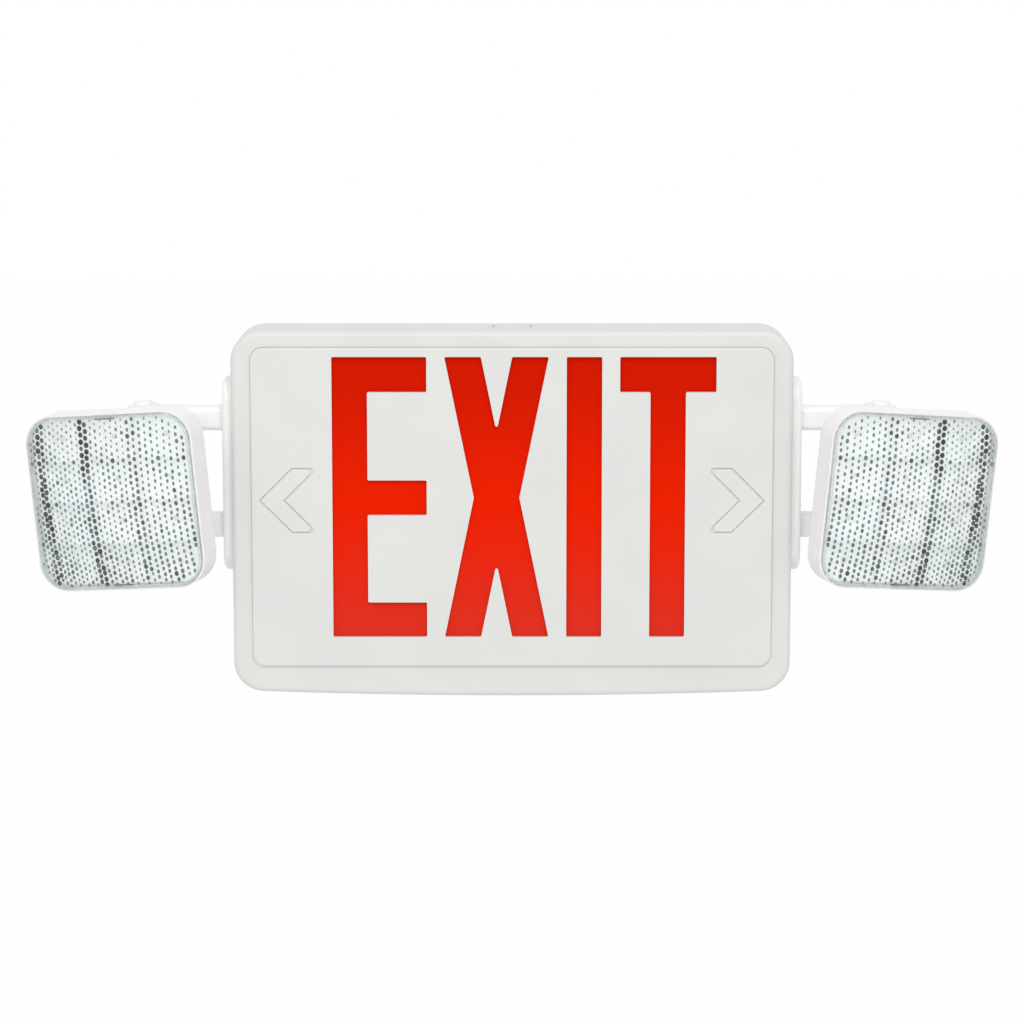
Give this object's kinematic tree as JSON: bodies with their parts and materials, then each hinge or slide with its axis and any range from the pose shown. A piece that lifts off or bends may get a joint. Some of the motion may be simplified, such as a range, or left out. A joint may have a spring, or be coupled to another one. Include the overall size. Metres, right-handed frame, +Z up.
{
  "type": "emergency exit light",
  "caption": "Wall-mounted emergency exit light: stencil-faced housing with a red diffuser, and at each end a swinging, tilting square lamp head on a two-arm fork.",
  "frame": {"origin": "centre of the flat back face that lies on the wall", "axes": "+X to the right seen from the front, +Y into the wall, +Z up; the sign faces -Y"},
  "size_m": [0.5192, 0.0838, 0.2015],
  "materials": {
    "white_housing": "satin moulded thermoplastic",
    "red_sheet": "translucent red acrylic sheet",
    "white_tray": "white reflecting tray",
    "circuit_board": "solder-mask green laminate",
    "diode": "light-emitting diode chips",
    "steel": "zinc-plated steel",
    "core": "laminated core",
    "black_plastic": "moulded black plastic",
    "capacitor_can": "sleeved aluminium can",
    "battery_sleeve": "shrink sleeve",
    "red_button": "gloss moulded button",
    "indicator": "translucent light pipe",
    "bright_reflector": "metallised faceted reflector",
    "clear_lens": "clear prismatic acrylic"
  },
  "bodies": {
    "root": {"back_housing": "white_housing", "front_frame": "white_housing", "face_plate": "white_housing", "red_diffuser": "red_sheet", "light_box": "white_tray", "upper_lamp_strip": "circuit_board", "lower_lamp_strip": "circuit_board", "upper_strip_diodes": "diode", "lower_strip_diodes": "diode", "charger_board": "circuit_board", "transformer": "core", "transfer_relay": "black_plastic", "capacitor": "capacitor_can", "terminal_block": "black_plastic", "battery_cells": "battery_sleeve", "battery_strap": "steel", "button_spring": "steel", "test_switch": "black_plastic", "indicator_lens": "indicator", "left_side_plate": "white_housing", "left_upper_arm": "white_housing", "left_lower_arm": "white_housing", "left_hinge_pin": "steel", "left_plate_screws": "steel", "right_side_plate": "white_housing", "right_upper_arm": "white_housing", "right_lower_arm": "white_housing", "right_hinge_pin": "steel", "right_plate_screws": "steel"},
    "button": {"test_button": "red_button"},
    "left_swivel": {"left_knuckle": "white_housing", "left_cross_pin": "steel"},
    "left_head": {"left_head_shell": "white_housing", "left_reflector": "bright_reflector", "left_lamp_board": "circuit_board", "left_head_diodes": "diode", "left_lens": "clear_lens"},
    "right_swivel": {"right_knuckle": "white_housing", "right_cross_pin": "steel"},
    "right_head": {"right_head_shell": "white_housing", "right_reflector": "bright_reflector", "right_lamp_board": "circuit_board", "right_head_diodes": "diode", "right_lens": "clear_lens"}
  },
  "joints": [
    {"name": "button_push", "type": "slide", "parent": "root", "child": "button", "axis": [0, 0, 1], "range_m": [0, 0.002], "stiffness_N_per_m": 500, "springref_m": -0.001, "deforming": ["button_spring"]},
    {"name": "left_swing", "type": "hinge", "parent": "root", "child": "left_swivel", "pos_m": [-0.1972, -0.0195, 0.01965], "axis": [0.0872, 0, -0.9962], "range_deg": [-5, 60]},
    {"name": "left_tilt", "type": "hinge", "parent": "left_swivel", "child": "left_head", "pos_m": [-0.20235, -0.03674, 0.0192], "axis": [0.9542, -0.2874, 0.0835], "range_deg": [-25, 20]},
    {"name": "right_swing", "type": "hinge", "parent": "root", "child": "right_swivel", "pos_m": [0.1972, -0.0195, 0.01965], "axis": [0.0872, 0, 0.9962], "range_deg": [-5, 60]},
    {"name": "right_tilt", "type": "hinge", "parent": "right_swivel", "child": "right_head", "pos_m": [0.20235, -0.03674, 0.0192], "axis": [0.9542, 0.2874, -0.0835], "range_deg": [-25, 20]}
  ]
}
